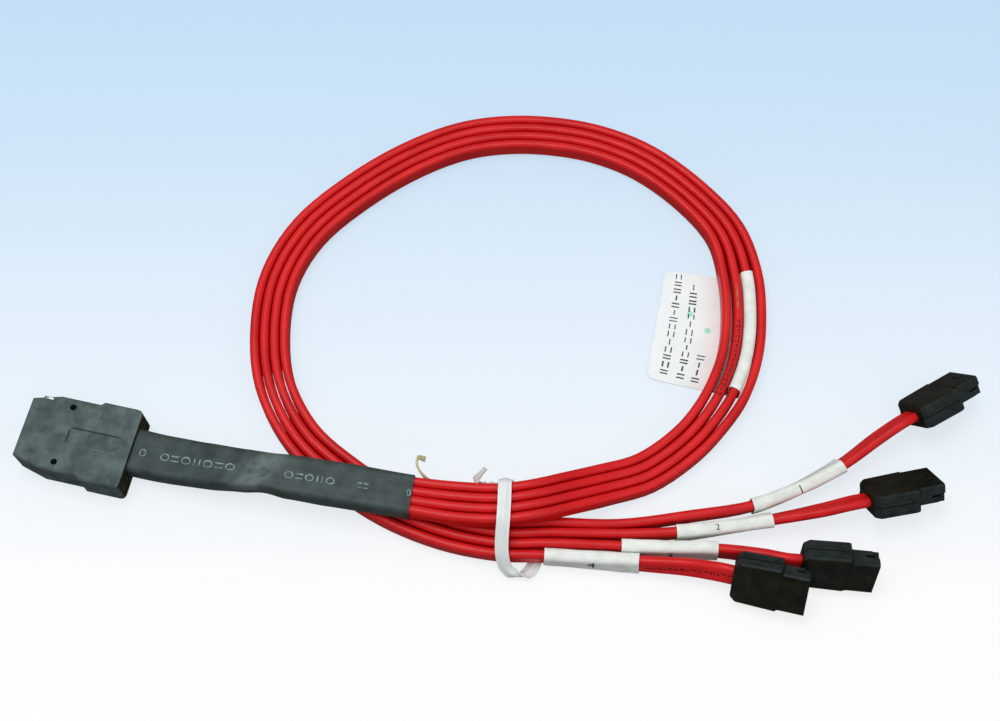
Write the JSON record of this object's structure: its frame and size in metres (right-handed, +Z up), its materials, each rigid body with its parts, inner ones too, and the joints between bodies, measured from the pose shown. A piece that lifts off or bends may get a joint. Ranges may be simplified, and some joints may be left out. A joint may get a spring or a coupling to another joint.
{
  "type": "mini sas breakout cable",
  "caption": "Breakout cable with a wide internal plug at one end and flat cables, looped and tied, that fan out to small plugs with an L-shaped slot.",
  "frame": {"origin": "on the surface that the cable lies on, under the middle of the box round its plugs", "axes": "+Z up; +X from the wide plug towards the small plugs; +Y from the near side of the loop towards its far side"},
  "size_m": [0.2814, 0.1633, 0.0165],
  "materials": {
    "shell_plastic": "fine-grained dark grey moulded plastic",
    "latch_steel": "bright spring steel",
    "circuit_board": "green solder mask with gilt pads",
    "block_plastic": "plain moulding",
    "shrink_sleeve": "satin heat-shrink tube",
    "cable_jacket": "smooth red jacket",
    "marker_white": null,
    "label_white": "white label with plain dark bars",
    "tie_white": "glossy white plastic over a wire",
    "plug_black": "black moulded plastic",
    "contact_gilt": "gilt contact strip"
  },
  "bodies": {
    "cable": {"sas_upper_shell": "shell_plastic", "sas_lower_shell": "shell_plastic", "sas_card": "circuit_board", "sas_cable_block": "block_plastic", "heat_shrink_sleeve": "shrink_sleeve", "cable_1": "cable_jacket", "cable_2": "cable_jacket", "cable_3": "cable_jacket", "cable_4": "cable_jacket", "marker_sleeve_1": "marker_white", "marker_sleeve_2": "marker_white", "marker_sleeve_3": "marker_white", "marker_sleeve_4": "marker_white", "flag_label": "label_white", "twist_tie": "tie_white", "plug_1_cover": "plug_black", "plug_1_housing": "plug_black", "plug_1_contact_1": "contact_gilt", "plug_1_contact_2": "contact_gilt", "plug_1_contact_3": "contact_gilt", "plug_1_contact_4": "contact_gilt", "plug_1_contact_5": "contact_gilt", "plug_1_contact_6": "contact_gilt", "plug_1_contact_7": "contact_gilt", "plug_2_cover": "plug_black", "plug_2_housing": "plug_black", "plug_2_contact_1": "contact_gilt", "plug_2_contact_2": "contact_gilt", "plug_2_contact_3": "contact_gilt", "plug_2_contact_4": "contact_gilt", "plug_2_contact_5": "contact_gilt", "plug_2_contact_6": "contact_gilt", "plug_2_contact_7": "contact_gilt", "plug_3_cover": "plug_black", "plug_3_housing": "plug_black", "plug_3_contact_1": "contact_gilt", "plug_3_contact_2": "contact_gilt", "plug_3_contact_3": "contact_gilt", "plug_3_contact_4": "contact_gilt", "plug_3_contact_5": "contact_gilt", "plug_3_contact_6": "contact_gilt", "plug_3_contact_7": "contact_gilt", "plug_4_cover": "plug_black", "plug_4_housing": "plug_black", "plug_4_contact_1": "contact_gilt", "plug_4_contact_2": "contact_gilt", "plug_4_contact_3": "contact_gilt", "plug_4_contact_4": "contact_gilt", "plug_4_contact_5": "contact_gilt", "plug_4_contact_6": "contact_gilt", "plug_4_contact_7": "contact_gilt"},
    "latch": {"sas_latch": "latch_steel"}
  },
  "joints": [
    {"name": "latch_press", "type": "hinge", "parent": "cable", "child": "latch", "pos_m": [-0.1104, 0.01117, 0.00095], "axis": [0.2215, 0.9751, 0], "range_deg": [0, 2.2], "stiffness_Nm_per_rad": 0.5}
  ]
}
